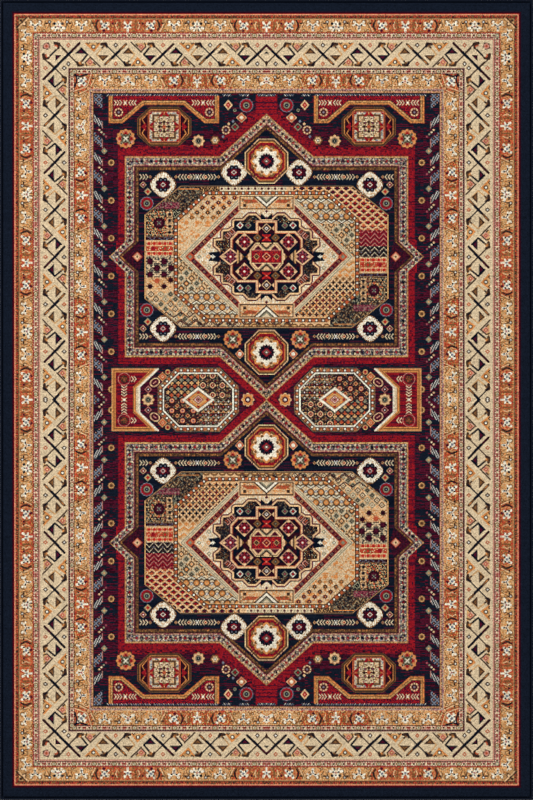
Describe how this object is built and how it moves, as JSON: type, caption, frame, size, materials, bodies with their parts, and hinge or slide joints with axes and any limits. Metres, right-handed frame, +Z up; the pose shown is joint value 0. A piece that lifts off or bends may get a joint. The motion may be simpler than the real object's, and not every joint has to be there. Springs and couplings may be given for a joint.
{
  "type": "area rug",
  "caption": "Rectangular woven pile area rug with overcast edges, patterned borders and two star medallions; lies flat on a floor.",
  "frame": {"origin": "middle of the underside, on the floor", "axes": "+Z up through the pile, +Y along the rug's length, +X across its width"},
  "size_m": [1.6, 2.4, 0.011],
  "materials": {
    "latex": "matt pale latex coat, brushed over the weave",
    "ground_weave": "plain jute and cotton ground weave, ribbed across",
    "edge_cord": "undyed three-ply cotton cord",
    "edge_overcasting": "navy yarn, close overcast wraps",
    "edge_band_pile": "plain navy cut pile",
    "outer_border_pile": "cut pile, tan and rust grounds with small ivory motifs",
    "main_border_pile": "cut pile, ivory ground with crossed bars",
    "inner_border_pile": "cut pile, tan and rust grounds with small ivory motifs",
    "frame_pile": "cut pile, red, grey-blue and orange frame lines on navy",
    "patchwork_pile": "cut pile, patches of small figures in many colours",
    "star_pile": "cut pile, navy star with a red and peach heart",
    "corner_panel_pile": "cut pile, red with a gold outline",
    "side_panel_pile": "cut pile, patchwork octagon in a red and gold panel",
    "ground_pile": "cut pile, navy shading into maroon in streaks across"
  },
  "bodies": {
    "root": {"latex_back_coat": "latex", "ground_weave": "ground_weave", "edge_cord_near": "edge_cord", "edge_cord_right": "edge_cord", "edge_cord_far": "edge_cord", "edge_cord_left": "edge_cord", "edge_overcasting_near": "edge_overcasting", "edge_overcasting_right": "edge_overcasting", "edge_overcasting_far": "edge_overcasting", "edge_overcasting_left": "edge_overcasting", "edge_band_near": "edge_band_pile", "edge_band_right": "edge_band_pile", "edge_band_far": "edge_band_pile", "edge_band_left": "edge_band_pile", "outer_border_near": "outer_border_pile", "outer_border_right": "outer_border_pile", "outer_border_far": "outer_border_pile", "outer_border_left": "outer_border_pile", "main_border_near": "main_border_pile", "main_border_right": "main_border_pile", "main_border_far": "main_border_pile", "main_border_left": "main_border_pile", "inner_border_near": "inner_border_pile", "inner_border_right": "inner_border_pile", "inner_border_far": "inner_border_pile", "inner_border_left": "inner_border_pile", "frame_far_left": "frame_pile", "frame_far_right": "frame_pile", "frame_near_left": "frame_pile", "frame_near_right": "frame_pile", "patchwork_far_left": "patchwork_pile", "patchwork_far_right": "patchwork_pile", "patchwork_near_left": "patchwork_pile", "patchwork_near_right": "patchwork_pile", "star_far": "star_pile", "star_near": "star_pile", "corner_panel_far_left": "corner_panel_pile", "corner_panel_far_right": "corner_panel_pile", "corner_panel_near_left": "corner_panel_pile", "corner_panel_near_right": "corner_panel_pile", "corner_ground_far_left": "ground_pile", "corner_ground_far_right": "ground_pile", "corner_ground_near_left": "ground_pile", "corner_ground_near_right": "ground_pile", "middle_ground_far_left": "ground_pile", "middle_ground_far_right": "ground_pile", "middle_ground_near_left": "ground_pile", "middle_ground_near_right": "ground_pile", "side_panel_left": "side_panel_pile", "side_panel_right": "side_panel_pile"}
  },
  "joints": []
}
